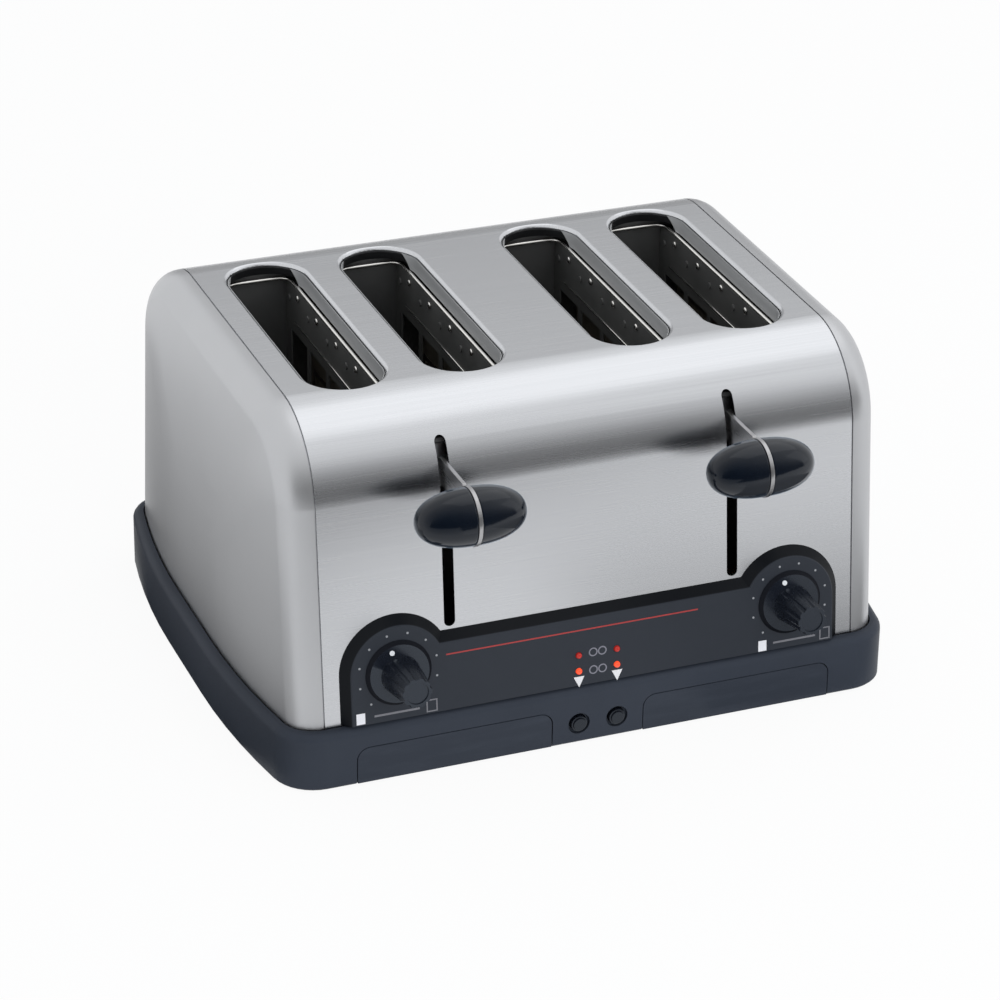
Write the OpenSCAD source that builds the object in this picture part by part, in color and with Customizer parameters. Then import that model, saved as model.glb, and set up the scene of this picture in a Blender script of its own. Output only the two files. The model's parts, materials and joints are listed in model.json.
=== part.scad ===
// Four-slot toaster: two independent pairs of bread wells in one bent steel body.
// All sizes are in millimetres. X runs to the right, Y to the rear, Z up from the table.

/* [Body] */
// height of the top sheet above the table
body_top = 175; // [165:1:200]
// width of the bent wrap between its two seams
wrap_w = 267; // [262:1:290]
// depth of the wrap where it meets the base
wrap_d = 247.4; // [240:0.2:270]
// backward lean of the front and rear faces, in degrees
face_lean = 5.71; // [3:0.01:8]
// outside radius of the bend between a face and the top
bend_r = 42.5; // [36:0.5:48]
// thickness of the body sheet
sheet = 1; // [0.8:0.1:1.2]
// radius of the pressed edge of an end cap
cap_r = 15; // [12:0.5:24]
// crown of an end cap beyond its pressed edge
cap_crown = 8; // [3:0.5:10]

/* [Base] */
// height of the base moulding
base_h = 29; // [26:0.5:32]
// height of the feet
foot_h = 1; // [1:0.1:6]
// width of the step from the body out to the base
base_rim = 6; // [5:0.5:9]
// radius of the rounded shoulder of the base
shoulder_r = 4; // [2:0.5:4.5]
// thickness of the base floor
floor_t = 2.5; // [2:0.1:3]
// width of a crumb tray front
tray_w = 96; // [90:0.5:97]
// height of a crumb tray front above the base's underside
tray_h = 18.5; // [15:0.5:19.5]

/* [Bread wells] */
// distance from an outer slot to the seam of the wrap
end_margin = 14; // [12:0.1:16]
// spacing of the two wells of a pair
pair_pitch = 57.5; // [56:0.1:59]
// width of a slot in the top
slot_w = 39.6; // [38:0.1:41]
// length of a slot in the top
slot_l = 147.7; // [142:0.1:149]
// depth of the turned-down rim round a slot
slot_lip = 6; // [5:0.2:7]
// free width between the two guards of a well
well_w = 32; // [30:0.5:33]
// spacing of the guard bars along a well
bar_pitch = 28; // [26:0.5:28.5]

/* [Levers] */
// height of the lower end of a lever slot
lever_low = 69.9; // [69:0.1:72]
// distance of a lever slot's upper end below the top sheet
lever_drop = 15.1; // [14:0.1:17]
// height of the lever plate where it passes through its slot
neck_h = 16; // [14:0.5:18]
// thickness of the lever plate
lever_t = 2; // [1.6:0.1:3]
// width of a lever grip
grip_w = 52.5; // [48:0.5:56]
// diameter of a lever grip
grip_d = 27; // [25:0.2:30]
// distance of a grip's centre in front of the body's middle
grip_y = 144.3; // [142:0.1:148]
// diameter of a guide rod
rod_d = 6; // [5:0.1:6.5]

/* [Control panel] */
// distance of each dial from the seam of the wrap
dial_in = 35.2; // [34:0.1:37]
// height of a dial up the front face
dial_v = 24.1; // [23:0.1:25]
// radius of the arched field round a dial
arch_r = 27; // [25:0.1:27.5]
// height of the panel's straight part up the front face
panel_v = 38.7; // [37:0.1:39]
// thickness of the panel
panel_t = 5; // [4:0.1:6]
// width of the bevel round the panel
panel_bevel = 4.5; // [3:0.1:5]
// radius of a dial's skirt
skirt_r = 16; // [14:0.1:17]
// length of a dial's grip
dial_len = 22; // [18:0.5:24]
// distance of each push button and light column from the middle
button_x = 9.6; // [9:0.1:10.5]

/* [Hidden] */
$fn = 64;
base_top = foot_h + base_h;
seat_z = base_top - 6;
floor_z = foot_h + floor_t;
half_d = wrap_d / 2;
seam_x = wrap_w / 2;
sill = tan(face_lean);
slot_straight = slot_l / 2 - slot_w / 2;
slot_round = 2.5;
well_out = seam_x - end_margin - slot_w / 2;
well_in = well_out - pair_pitch;
lever_x = (well_in + well_out) / 2;
dial_x = seam_x - dial_in;
crown_span = half_d - 38.7;
// the bend starts no more than 6 mm before the ends of the slots
bend = min(bend_r,
    (half_d - slot_l / 2 + 6 - sill * (body_top - base_top)) / (1 / cos(face_lean) - sill));
seam_gap = 0.7;
// chassis plates stand just beyond the ends of the slots
plate_y = slot_l / 2 + 2.2;
plate_t = 1;
plate_x = seam_x - 3.5;
// heater boards lie beside and between the wells
board_xs = [
    plate_x - 3.5,
    (well_out + well_in) / 2,
    (well_in - well_w / 2) / 2 + 0.4
];
board_z = [seat_z + 10, body_top - 25];
// guards and the wire rim that lies on them
guard_t = 0.8;
rim_wire = 1.8;
guard_top = body_top - 10;
windows = floor((2 * plate_y - 8) / bar_pitch);
// levers, carriages and lifters, all at the raised end of their travel
lever_high = body_top - lever_drop;
neck_z = [lever_high - 9.4 - neck_h, lever_high - 9.4];
lever_travel = neck_z[0] - lever_low - 2.6;
rod_z = [seat_z + 2, lever_high - 2.4];
shelf_z = seat_z + 4;
hub_z = [neck_z[0] - 13.7, rod_z[1] - 2.7];
rail_z = [hub_z[0] - 21.8, hub_z[0] - 9.8];
grip_z = neck_z[0] + 4;
// depth of the room for the lever works, from the front plate to the face
works_d = half_d - sill * (neck_z[0] - base_top) - sheet - plate_y - plate_t;
rod_y = -plate_y - plate_t - 0.51 * works_d;
hub_r = 0.2 * works_d;
neck_reach = 0.31 * works_d;
web_y = -plate_y - plate_t - 3;
magnet_x = 17;
magnet_top = hub_z[0] - 3 - lever_travel - 0.3;
// panel parts, measured outward from the front face
board_w = -16;
pillar_x = 50;
pillar_v = [8, panel_v - 8.7];
light_v = [16, 8];
tray_x = (tray_w + 46.4) / 2;
// screws and feet under the base
screw_x = plate_x + 7;
screw_y = 60;
foot_x = seam_x - 1;
foot_y = half_d - 25;
foot_r = 9;
button_z = foot_h + 10.3;
gland_z = foot_h + 13.5;
gland_flange = 3;
front_reach = grip_y + grip_d / 2 + 0.4;
rear_reach = half_d + base_rim + gland_flange;
body_y = (front_reach - rear_reach) / 2;
// node names of the four wells, from left to right
well_xs = [-well_out, -well_in, well_in, well_out];
SIDES = [["left", -1], ["right", 1]];

// sets the middle of the part's bounding box over the origin
module place() {
    translate([0, body_y, 0])
        children();
}

// moves to the front face: X across, Z up the face, -Y outward
module on_face() {
    translate([0, -half_d, base_top])
        rotate([-face_lean, 0, 0])
            children();
}

// stands a flat outline on the front face between two distances outward
module outward(w0, w1) {
    translate([0, -w0, 0])
        rotate([90, 0, 0])
            linear_extrude(w1 - w0)
                children();
}

// a round bar along X
module bar_x(r, x0, x1) {
    translate([x0, 0, 0])
        rotate([0, 90, 0])
            cylinder(r = r, h = x1 - x0);
}

// a round bar along Y
module bar_y(r, y0, y1) {
    translate([0, y0, 0])
        rotate([-90, 0, 0])
            cylinder(r = r, h = y1 - y0);
}

// a sheet piece drawn flat in Y and Z, with its thickness along X from x0 to x1
module flat_x(x0, x1) {
    translate([x0, 0, 0])
        rotate([90, 0, 90])
            linear_extrude(x1 - x0)
                children();
}

// side profile of the body, inset by e, open downward to z_low
module body_profile(e, z_low) {
    r = max(bend - e, 0.42 * min(bend, half_d - e));
    zc = body_top - e - r;
    at_base = half_d - e / cos(face_lean);
    yc = at_base - sill * (zc - base_top) - r / cos(face_lean);
    yt = yc + r * cos(face_lean);
    zt = zc + r * sin(face_lean);
    y_low = at_base + sill * (base_top - z_low);
    polygon([
        [-y_low, z_low], [-yt, zt], [-yc, zc], [-yc, body_top - e],
        [yc, body_top - e], [yc, zc], [yt, zt], [y_low, z_low]
    ]);
    for (s = [-1, 1])
        translate([s * yc, zc])
            circle(r);
}

// path of an end cap's section: inset, reach beyond the seam, and direction it faces
crown_a = 90 - atan(2 * cap_crown / crown_span);
cap_path = concat(
    [for (i = [0:8])
        let (a = crown_a * i / 8)
        [cap_r * (1 - cos(a)), cap_r * sin(a), a]],
    [for (i = [1:5])
        let (u = i / 5)
        [cap_r * (1 - cos(crown_a)) + crown_span * u,
            cap_r * sin(crown_a) + cap_crown * (1 - pow(1 - u, 2)),
            90 - atan(2 * cap_crown * (1 - u) / crown_span)]]
);

// points of the body's plan where it meets the base, grown by g
function plan_points(g) =
    let (
        n = len(cap_path),
        q = [for (p = cap_path)
            [seam_x + p[1] + g * sin(p[2]), half_d - p[0] + g * cos(p[2])]]
    )
    concat(
        q,
        [for (i = [n - 1:-1:0]) [q[i][0], -q[i][1]]],
        [for (p = q) [-p[0], -p[1]]],
        [for (i = [n - 1:-1:0]) [-q[i][0], q[i][1]]]
    );

// the base's outside: rings of the plan from the underside up over the shoulder
module base_block() {
    rings = concat(
        [[base_rim - 1, foot_h], [base_rim, foot_h + 1]],
        [for (a = [0:22.5:90])
            [base_rim - shoulder_r * (1 - cos(a)), base_top - shoulder_r * (1 - sin(a))]]
    );
    n = 4 * len(cap_path);
    last = len(rings) - 1;
    points = [for (r = rings) for (p = plan_points(r[0])) [p[0], p[1], r[1]]];
    sides = [for (i = [0:last - 1], j = [0:n - 1])
        let (k = (j + 1) % n)
        [i * n + j, i * n + k, (i + 1) * n + k, (i + 1) * n + j]];
    ends = [
        [for (j = [n - 1:-1:0]) j],
        [for (j = [0:n - 1]) last * n + j]
    ];
    polyhedron(points = points, faces = concat(sides, ends), convexity = 4);
}

// outline of a crumb tray front: square below, round upper corners
module tray_outline(grow, low) {
    w = tray_w / 2 + grow;
    top = foot_h + tray_h + grow;
    r = 6 + grow;
    translate([-w, low])
        square([2 * w, top - r - low]);
    translate([-w + r, low])
        square([2 * (w - r), top - low]);
    for (s = [-1, 1])
        translate([s * (w - r), top - r])
            circle(r);
}

// the base moulding: rounded shoulder, ledge for the body, webs for the chassis
module base_tray() {
    wall_front = -half_d - base_rim;
    color([0.2, 0.23, 0.27])
    difference() {
        union() {
            difference() {
                base_block();
                translate([0, 0, seat_z])
                    linear_extrude(base_h)
                        polygon(plan_points(0.8));
                translate([0, 0, floor_z])
                    linear_extrude(base_h)
                        polygon(plan_points(-3.2));
            }
            for (s = [-1, 1], x = [tray_x - tray_w / 2 - 1.8, tray_x + tray_w / 2 + 1.8])
                translate([s * x - 1.4, -half_d + 3, foot_h + 1])
                    cube([2.8, wrap_d - 6, seat_z - foot_h - 1]);
            for (sx = [-1, 1], sy = [-1, 1])
                translate([sx * screw_x, sy * screw_y, foot_h + 1])
                    cylinder(r = 5, h = seat_z - foot_h - 1);
        }
        for (s = [-1, 1])
            translate([s * tray_x, -half_d + 3.4, 0])
                rotate([90, 0, 0])
                    linear_extrude(base_rim + 10)
                        tray_outline(0.4, 0);
        for (s = [-1, 1])
            translate([s * button_x, 0, button_z]) {
                bar_y(4.3, wall_front - 1, -half_d + 8);
                bar_y(5.4, wall_front - 1, wall_front + 2);
            }
        translate([0, 0, gland_z])
            bar_y(6.6, half_d - 8, half_d + base_rim + 1);
        for (sx = [-1, 1], sy = [-1, 1]) {
            translate([sx * screw_x, sy * screw_y, 0])
                cylinder(r = 2.2, h = base_top);
            translate([sx * screw_x, sy * screw_y, 0])
                cylinder(r = 4, h = foot_h + 2.3);
            translate([sx * foot_x, sy * foot_y, 0])
                cylinder(r = 3.1, h = floor_z + 1);
        }
    }
}

// four rubber feet, each pushed into the floor by its stem
module rubber_feet() {
    color([0.06, 0.06, 0.06])
    for (sx = [-1, 1], sy = [-1, 1])
        translate([sx * foot_x, sy * foot_y, 0]) {
            cylinder(r1 = foot_r - 1, r2 = foot_r, h = foot_h);
            cylinder(r = 3, h = floor_z - 0.2);
        }
}

// four screws up through the base into the side shields
module base_screws() {
    color([0.6, 0.6, 0.62])
    for (sx = [-1, 1], sy = [-1, 1])
        translate([sx * screw_x, sy * screw_y, 0])
            difference() {
                union() {
                    translate([0, 0, foot_h + 0.3])
                        cylinder(r = 3.6, h = 2);
                    translate([0, 0, foot_h + 0.3])
                        cylinder(r = 2, h = seat_z - foot_h + 2.5);
                }
                for (a = [0, 90])
                    rotate([0, 0, a])
                        translate([-2.2, -0.5, foot_h])
                            cube([4.4, 1, 1.3]);
            }
}

// outline of a slot in the top, grown by g
module slot_outline(g) {
    square([slot_w + 2 * g, 2 * slot_straight], center = true);
    for (s = [-1, 1])
        translate([0, s * slot_straight])
            circle(slot_w / 2 + g);
}

// a slot's outline, grown by g, standing upright through the top sheet
module through_top(g) {
    translate([0, 0, body_top - bend])
        linear_extrude(bend + 1)
            slot_outline(g);
}

// a skin that follows the body from its surface down to a depth
module skin(depth) {
    flat_x(-seam_x + seam_gap, seam_x - seam_gap)
        difference() {
            body_profile(0, seat_z);
            body_profile(depth, seat_z - 1);
        }
}

// section of the rounding of a slot's edge, at its distance from the slot's middle
module edge_section() {
    w = slot_w / 2;
    centre = slot_round - 0.1;
    difference() {
        translate([w - 1, body_top - slot_round + 0.5])
            square([slot_round + 0.5, slot_round + 0.5]);
        translate([w + centre, body_top - centre])
            circle(slot_round);
    }
}

// what the rounding takes off the edge of one slot
module edge_round() {
    for (s = [-1, 1]) {
        translate([0, s * slot_straight, 0])
            rotate([0, 0, s > 0 ? 0 : 180])
                rotate_extrude(angle = 180)
                    edge_section();
        rotate([0, 0, s > 0 ? 0 : 180])
            rotate([90, 0, 0])
                translate([0, 0, -slot_straight])
                    linear_extrude(2 * slot_straight)
                        edge_section();
    }
}

// outline of a lever slot, drawn in X and Z
module lever_slot(w) {
    translate([-w / 2, lever_low + w / 2])
        square([w, lever_high - lever_low - w]);
    for (z = [lever_low + w / 2, lever_high - w / 2])
        translate([0, z])
            circle(w / 2);
}

// the bent wrap: front, top and rear in one sheet, with a turned-down rim round each slot
module wrap_shell() {
    color([0.75, 0.75, 0.76])
    difference() {
        union() {
            skin(sheet);
            for (depth = [[slot_lip, sheet], [slot_round, slot_round]])
                intersection() {
                    skin(depth[0]);
                    for (x = well_xs)
                        translate([x, 0, 0])
                            through_top(depth[1]);
                }
        }
        for (x = well_xs)
            translate([x, 0, 0]) {
                through_top(0);
                edge_round();
            }
        for (s = [-1, 1]) {
            translate([s * lever_x, web_y, 0])
                rotate([90, 0, 0])
                    linear_extrude(half_d)
                        lever_slot(lever_t + 3.4);
            on_face() {
                translate([s * dial_x, 0, dial_v])
                    bar_y(5, -9, 9);
                for (v = light_v)
                    translate([s * button_x, 0, v])
                        bar_y(1.7, -9, 9);
                for (v = pillar_v)
                    translate([s * pillar_x, 0, v])
                        bar_y(3.2, -9, 9);
            }
        }
    }
}

// the pillow of an end cap, inset by its sheet where needed
module cap_pillow(e) {
    hull() {
        flat_x(seam_x - 4 * e, seam_x - 4 * e + 0.01)
            body_profile(e, -40, $fn = 48);
        for (p = cap_path)
            translate([p[1] - e, 0, 0])
                flat_x(seam_x, seam_x + 0.01)
                    body_profile(p[0] + e, -40, $fn = 48);
    }
}

// a pressed end cap with a joggled flange that tucks inside the wrap
module end_cap(s) {
    color([0.72, 0.72, 0.73])
    mirror([s < 0 ? 1 : 0, 0, 0])
    intersection() {
        union() {
            difference() {
                cap_pillow(0);
                cap_pillow(sheet);
            }
            flat_x(seam_x - 8, seam_x + 1)
                difference() {
                    body_profile(sheet + 0.15, 0);
                    body_profile(2 * sheet + 0.15, -1);
                }
            flat_x(seam_x, seam_x + 1)
                difference() {
                    body_profile(sheet / 2, 0);
                    body_profile(2 * sheet + 0.15, -1);
                }
        }
        translate([0, -half_d - 20, seat_z])
            cube([seam_x + 60, wrap_d + 40, body_top]);
    }
}

// the moulded control panel: a bevelled bar with an arched field at each end
module control_panel() {
    low = 0.6;
    color([0.16, 0.17, 0.18])
    on_face()
    difference() {
        union() {
            for (s = [-1, 1]) {
                translate([s * dial_x, -0.05, dial_v])
                    rotate([90, 0, 0])
                        cylinder(r1 = arch_r, r2 = arch_r - panel_bevel, h = panel_t, $fn = 96);
                translate([s * dial_x, -0.05, low])
                    linear_extrude(dial_v - low)
                        polygon([
                            [-arch_r, 0], [arch_r, 0],
                            [arch_r - panel_bevel, -panel_t], [-arch_r + panel_bevel, -panel_t]
                        ]);
                for (v = pillar_v)
                    translate([s * pillar_x, 0, v])
                        bar_y(3, -1, -board_w - 1.6);
            }
            translate([0, -0.05, 0])
                flat_x(-dial_x, dial_x)
                    polygon([
                        [0, low], [0, panel_v],
                        [-panel_t, panel_v - panel_bevel], [-panel_t, low]
                    ]);
        }
        for (s = [-1, 1]) {
            translate([s * dial_x, 0, dial_v])
                bar_y(5, -panel_t - 1, 9);
            for (v = light_v)
                translate([s * button_x, 0, v])
                    bar_y(1.6, -panel_t - 1, 9);
        }
        translate([-seam_x, -panel_t - 1, low - arch_r])
            cube([wrap_w, panel_t + 2, arch_r]);
    }
}

// four indicator lights that reach from the control board through the panel
module indicator_lights() {
    color([0.7, 0.05, 0.04])
    on_face()
    for (s = [-1, 1], v = light_v)
        translate([s * button_x, 0, v]) {
            bar_y(1.5, -panel_t - 0.2, -board_w - 1.6);
            translate([0, -panel_t - 0.2, 0])
                sphere(1.5);
        }
}

// the control board, carried on the panel's four pillars
module control_board() {
    color([0.1, 0.3, 0.16])
    on_face()
    outward(board_w, board_w + 1.6)
        translate([-seam_x + 15.5, 3])
            square([wrap_w - 31, panel_v - 7.7]);
}

// a timer potentiometer, its neck through the wrap and panel
module timer_pot(s) {
    color([0.5, 0.5, 0.52])
    on_face()
    translate([s * dial_x, 0, dial_v])
    difference() {
        union() {
            bar_y(8.5, 5, -board_w - 1.6);
            bar_y(4.7, -panel_t + 0.4, 6);
        }
        bar_y(3, -panel_t - 1, -board_w - 3.5);
    }
}

// a dial: skirt, tapered grip with flutes, and the stem that turns in the potentiometer
module dial(s) {
    w0 = panel_t + 0.4;
    flutes = 10;
    color([0.05, 0.05, 0.055])
    on_face()
    translate([s * dial_x, -w0, dial_v])
    rotate([90, 0, 0])
    union() {
        difference() {
            union() {
                cylinder(r1 = skirt_r, r2 = skirt_r - 1.6, h = 3, $fn = 96);
                cylinder(r1 = 9.8, r2 = 7.2, h = dial_len + 3);
            }
            for (i = [0:flutes - 1])
                rotate([0, 0, (i + 0.5) * 360 / flutes])
                    translate([10.6, 0, 4.5])
                        rotate([0, -6.7, 0])
                            cylinder(r = 1.7, h = dial_len + 6, $fn = 32);
            translate([0, 0, dial_len + 2.4])
                cylinder(r = 5.4, h = 2);
        }
        translate([0, 0, -w0 + board_w + 4])
            cylinder(r = rod_d / 2 - 0.05, h = w0 - board_w - 3);
    }
}

// front or rear chassis plate with guide slots for the lifters
module chassis_plate(s) {
    difference() {
        translate([-plate_x, s > 0 ? plate_y : -plate_y - plate_t, seat_z])
            cube([2 * plate_x, plate_t, body_top - 7 - seat_z]);
        for (x = well_xs)
            translate([x - 2.5, -2 * half_d, rail_z[0] - lever_travel - 3])
                cube([5, 4 * half_d, lever_travel + rail_z[1] - rail_z[0] + 6]);
    }
}

// the front chassis plate, with a shelf and an upper tab for each guide rod
module chassis_front() {
    shelf_d = 0.74 * works_d;
    tab_d = 0.68 * works_d;
    color([0.55, 0.55, 0.56])
    difference() {
        union() {
            chassis_plate(-1);
            for (s = [-1, 1]) {
                translate([s * (lever_x + 9) - 20, -plate_y - plate_t - shelf_d, shelf_z])
                    cube([40, shelf_d + plate_t, 2]);
                translate([s * lever_x - 9, -plate_y - plate_t - tab_d, rod_z[1] - 2.5])
                    cube([18, tab_d + plate_t, 2]);
            }
        }
        for (s = [-1, 1])
            translate([s * lever_x, rod_y, 0])
                cylinder(r = rod_d / 2 + 0.05, h = body_top);
    }
}

// the rear chassis plate
module chassis_rear() {
    color([0.55, 0.55, 0.56])
    chassis_plate(1);
}

// sheet between the two pairs of wells
module centre_divider() {
    color([0.5, 0.5, 0.5])
    translate([-0.4, -plate_y, seat_z])
        cube([0.8, 2 * plate_y, body_top - 10 - seat_z]);
}

// heat shield at one end, with a foot flange for the base screws
module side_shield(s) {
    color([0.5, 0.5, 0.51])
    mirror([s < 0 ? 1 : 0, 0, 0])
    difference() {
        union() {
            translate([plate_x - 1, -plate_y, seat_z])
                cube([1, 2 * plate_y, body_top - 10 - seat_z]);
            translate([plate_x - 1, -plate_y, seat_z])
                cube([15, 2 * plate_y, 1]);
        }
        for (sy = [-1, 1])
            translate([screw_x, sy * screw_y, 0])
                cylinder(r = 2.1, h = body_top);
    }
}

// one heater board, between the chassis plates
module heater_board(s, i) {
    color([0.78, 0.72, 0.6])
    translate([s * board_xs[i] - 0.5, -plate_y, board_z[0]])
        cube([1, 2 * plate_y, board_z[1] - board_z[0]]);
}

// one ribbon laid to and fro over the face of a board
module ribbon(x) {
    rows = 8;
    pitch = (board_z[1] - board_z[0] - 16) / (rows - 1);
    reach = plate_y - 6;
    for (i = [0:rows - 1])
        translate([x, -reach, board_z[0] + 8 + i * pitch])
            cube([0.25, 2 * reach, 2.2]);
    for (i = [0:rows - 2])
        translate([x, i % 2 == 0 ? reach - 2.2 : -reach, board_z[0] + 8 + i * pitch])
            cube([0.25, 2.2, pitch + 2.2]);
}

// the ribbons of one pair of wells, on the board faces that look at bread
module heater_ribbons(s) {
    color([0.45, 0.4, 0.38])
    mirror([s < 0 ? 1 : 0, 0, 0]) {
        ribbon(board_xs[0] - 0.75);
        ribbon(board_xs[1] + 0.5);
        ribbon(board_xs[1] - 0.75);
        ribbon(board_xs[2] + 0.5);
    }
}

// the two guards of one well: sheet with windows, and a row of raised dots
module guards(x) {
    low = seat_z + 8;
    rows = 3;
    top = body_top - 31.5;
    row_h = (top - low - 4) / rows;
    color([0.35, 0.34, 0.34])
    for (s = [-1, 1])
        translate([x + s * well_w / 2, 0, 0])
            mirror([s < 0 ? 1 : 0, 0, 0]) {
                difference() {
                    translate([0, -plate_y, low])
                        cube([guard_t, 2 * plate_y, guard_top - low - 0.1]);
                    for (i = [0:windows - 1], j = [0:rows - 1])
                        translate([-1, (i - windows / 2) * bar_pitch + 2, low + 4 + j * row_h])
                            cube([3, bar_pitch - 4, row_h - 3]);
                }
                for (i = [0:windows])
                    translate([0, (i - windows / 2) * bar_pitch, guard_top - 8.4])
                        bar_x(1.6, -0.7, 0.4);
            }
}

// the bright wire rim that lies on the guards of one well
module guard_frame(x) {
    r = rim_wire / 2;
    corner = 6;
    cx = well_w / 2 + guard_t / 2 - corner;
    cy = plate_y - 3 - corner;
    color([0.8, 0.8, 0.8])
    translate([x, 0, guard_top + r]) {
        for (s = [-1, 1]) {
            translate([s * (cx + corner), 0, 0])
                bar_y(r, -cy, cy);
            translate([0, s * (cy + corner), 0])
                bar_x(r, -cx, cx);
        }
        for (sx = [0, 1], sy = [0, 1])
            mirror([sx, 0, 0])
                mirror([0, sy, 0])
                    translate([cx, cy, 0])
                        rotate_extrude(angle = 90)
                            translate([corner, 0])
                                circle(r, $fn = 32);
    }
}

// a guide rod, held in the shelf and tab of the front chassis plate
module guide_rod(s) {
    color([0.7, 0.7, 0.72])
    translate([s * lever_x, rod_y, rod_z[0]])
        cylinder(d = rod_d, h = rod_z[1] - rod_z[0]);
}

// a carriage: hub on the rod, cross bar to both lifters, slit for the lever plate
module carriage(s) {
    x0 = well_in - 6;
    x1 = well_out + 6;
    color([0.62, 0.62, 0.64])
    mirror([s < 0 ? 1 : 0, 0, 0])
    difference() {
        union() {
            translate([lever_x, rod_y, hub_z[0]])
                cylinder(r = hub_r, h = hub_z[1] - hub_z[0]);
            translate([lever_x - 4.5, rod_y - neck_reach, neck_z[0] + 0.5])
                cube([9, neck_reach, neck_h - 3]);
            translate([x0, rod_y - hub_r + 2, hub_z[0]])
                cube([x1 - x0, web_y - rod_y + hub_r - 2, 2]);
            translate([x0, web_y - 2, hub_z[0]])
                cube([x1 - x0, 2, 12]);
        }
        translate([lever_x, rod_y, 0])
            cylinder(r = rod_d / 2 + 0.08, h = body_top);
        translate([lever_x - lever_t / 2 - 0.05, rod_y - hub_r - neck_reach, neck_z[0] - 10])
            cube([lever_t + 0.1, neck_reach, neck_h + 24]);
    }
}

// the lever plate: a tang in the carriage, a neck through the slot, a disc in the grip
module lever_arm(s) {
    tang = rod_y - hub_r - 0.2;
    color([0.8, 0.8, 0.8])
    flat_x(s * lever_x - lever_t / 2, s * lever_x + lever_t / 2) {
        polygon([
            [tang, neck_z[0] + 0.5], [tang, neck_z[1] - 2.5],
            [tang - 5, neck_z[1]], [-grip_y + 8, neck_z[1] + 0.5],
            [-grip_y, grip_z], [-grip_y + 8, grip_z - 8], [tang - 12, neck_z[0]]
        ]);
        translate([-grip_y, grip_z])
            circle(grip_d / 2 + 0.4);
    }
}

// a lever grip in two moulded halves, one each side of the lever plate
module lever_grip(s) {
    a = grip_w / 2;
    b = grip_d / 2;
    start = lever_t / 2 + 0.05;
    steps = 18;
    color([0.03, 0.03, 0.035])
    for (m = [0, 1])
        translate([s * lever_x, -grip_y, grip_z])
            rotate([0, 90, 0])
                mirror([0, 0, m])
                    rotate_extrude($fn = 72)
                        polygon(concat(
                            [[0, start]],
                            [for (i = [0:steps])
                                let (u = sin(90 * i / steps))
                                [b * pow(max(0, 1 - pow(u, 2.2)), 0.44), start + (a - start) * u]]
                        ));
}

// a bread lifter: riser on the carriage, rail through the chassis, cross wires for bread
module lifter(x) {
    pitch = (plate_y - 12) / 4;
    reach = well_w / 2 - 4;
    color([0.6, 0.6, 0.6])
    translate([x, 0, 0]) {
        translate([-5, web_y, rail_z[0]])
            cube([10, 1.5, hub_z[0] + 12 - rail_z[0]]);
        flat_x(-0.75, 0.75)
            polygon([
                [web_y + 0.5, rail_z[0]], [plate_y + 5, rail_z[0]],
                [plate_y + 5, rail_z[1] - 4], [plate_y + 3, rail_z[1]], [web_y + 0.5, rail_z[1]]
            ]);
        for (i = [-4:4])
            translate([0, i * pitch, rail_z[1] - 1.5])
                bar_x(1.5, -reach, reach);
    }
}

// the iron keeper under a carriage, held by the magnet when the lever is down
module latch_keeper(s) {
    color([0.4, 0.4, 0.42])
    translate([s * (lever_x + magnet_x) - 8, rod_y - 0.11 * works_d, hub_z[0] - 3])
        cube([16, 0.4 * works_d, 3]);
}

// the holding magnet on the shelf: coil, core and pole
module latch_magnet(s) {
    flange_r = 0.225 * works_d;
    color([0.5, 0.28, 0.15])
    translate([s * (lever_x + magnet_x), rod_y + 0.085 * works_d, shelf_z + 2]) {
        cylinder(r = flange_r, h = 2);
        cylinder(r = 0.44 * flange_r, h = magnet_top - shelf_z - 2);
        translate([0, 0, 2])
            cylinder(r = 0.9 * flange_r, h = magnet_top - shelf_z - 7);
        translate([0, 0, magnet_top - shelf_z - 5])
            cylinder(r = flange_r, h = 1.5);
    }
}

// the compression spring round a guide rod, under the carriage
module return_spring(s) {
    coil_r = 5.2;
    wire_r = 0.6;
    turns = 11;
    per_turn = 16;
    around = 6;
    z0 = shelf_z + 2 + wire_r + 0.05;
    z1 = hub_z[0] - wire_r - 0.05;
    n = turns * per_turn;
    ring = [for (i = [0:n])
        let (a = 360 * i / per_turn, z = z0 + (z1 - z0) * i / n)
        for (j = [0:around - 1])
            let (b = 360 * j / around, r = coil_r + wire_r * cos(b))
            [r * cos(a), r * sin(a), z + wire_r * sin(b)]];
    sides = [for (i = [0:n - 1], j = [0:around - 1])
        let (k = (j + 1) % around)
        [i * around + j, i * around + k, (i + 1) * around + k, (i + 1) * around + j]];
    ends = [
        [for (j = [around - 1:-1:0]) j],
        [for (j = [0:around - 1]) n * around + j]
    ];
    color([0.6, 0.6, 0.62])
    translate([s * lever_x, rod_y, 0])
        polyhedron(points = ring, faces = concat(sides, ends), convexity = 10);
}

// a push button in the base, with a collar behind the wall
module push_button(s) {
    front = -half_d - base_rim - 1.5;
    color([0.04, 0.04, 0.045])
    translate([s * button_x, 0, button_z]) {
        bar_y(4, front + 1, -half_d + 6.5);
        bar_y(3.2, front, front + 2);
        bar_y(5.5, -half_d + 3.5, -half_d + 5);
    }
}

// the switch behind a push button, standing on the base floor
module mode_switch(s) {
    color([0.15, 0.15, 0.16])
    translate([s * button_x - 5.5, -half_d + 9.3, floor_z])
        cube([11, 12, 12]);
}

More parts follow.
